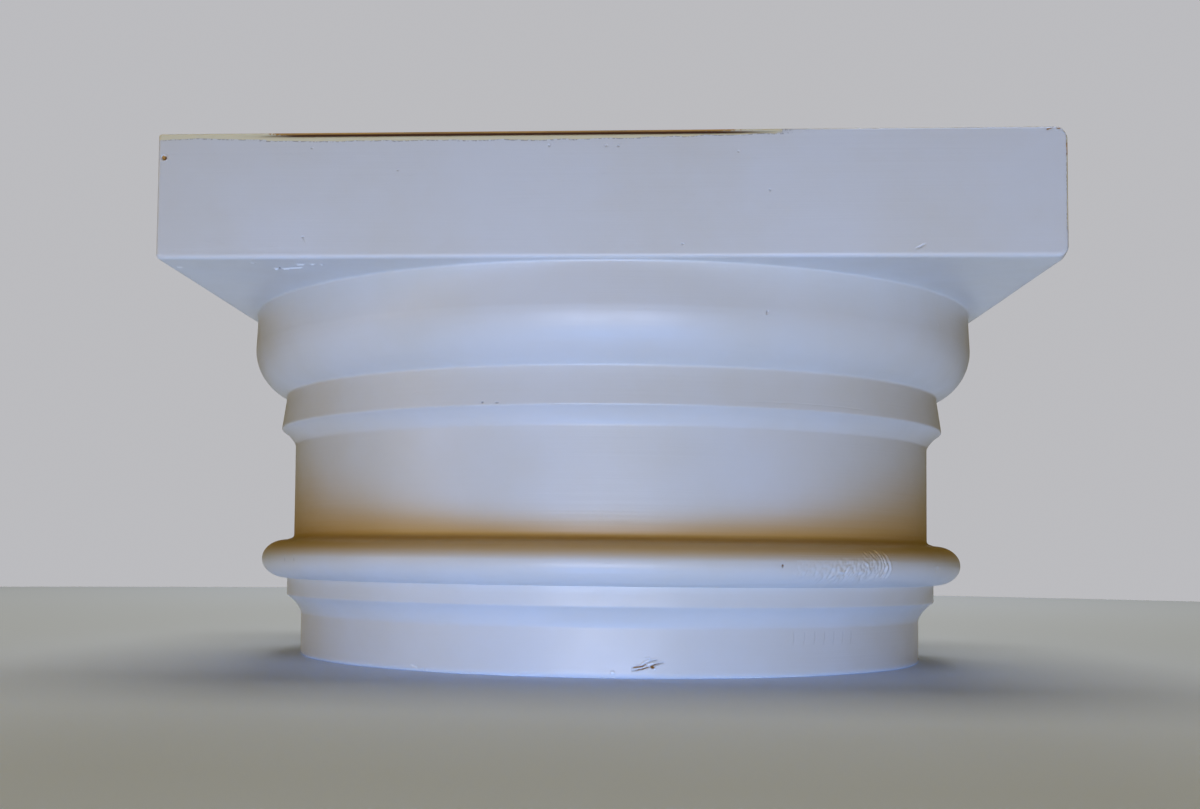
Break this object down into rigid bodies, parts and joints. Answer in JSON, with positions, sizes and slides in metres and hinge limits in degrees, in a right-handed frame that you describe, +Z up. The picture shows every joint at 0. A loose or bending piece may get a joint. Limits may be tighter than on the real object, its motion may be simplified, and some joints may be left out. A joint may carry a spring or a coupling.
{
  "type": "doric column capital",
  "caption": "Turned column capital of painted wood: square slab over a quarter-round ovolo, fillet, plain neck, bead, fillet and cavetto, cut flat above and below.",
  "frame": {"origin": "middle of the flat round underside, where the capital sits on its shaft", "axes": "+Z up along the column's axis, -Y out of the slab's front face, +X to the right seen from the front"},
  "size_m": [0.3522, 0.3522, 0.213],
  "materials": {
    "painted_wood": "old off-white satin oil paint with brush marks, grime in the hollows and bare wood at a few worn edges"
  },
  "bodies": {
    "root": {"capital": "painted_wood"}
  },
  "joints": []
}
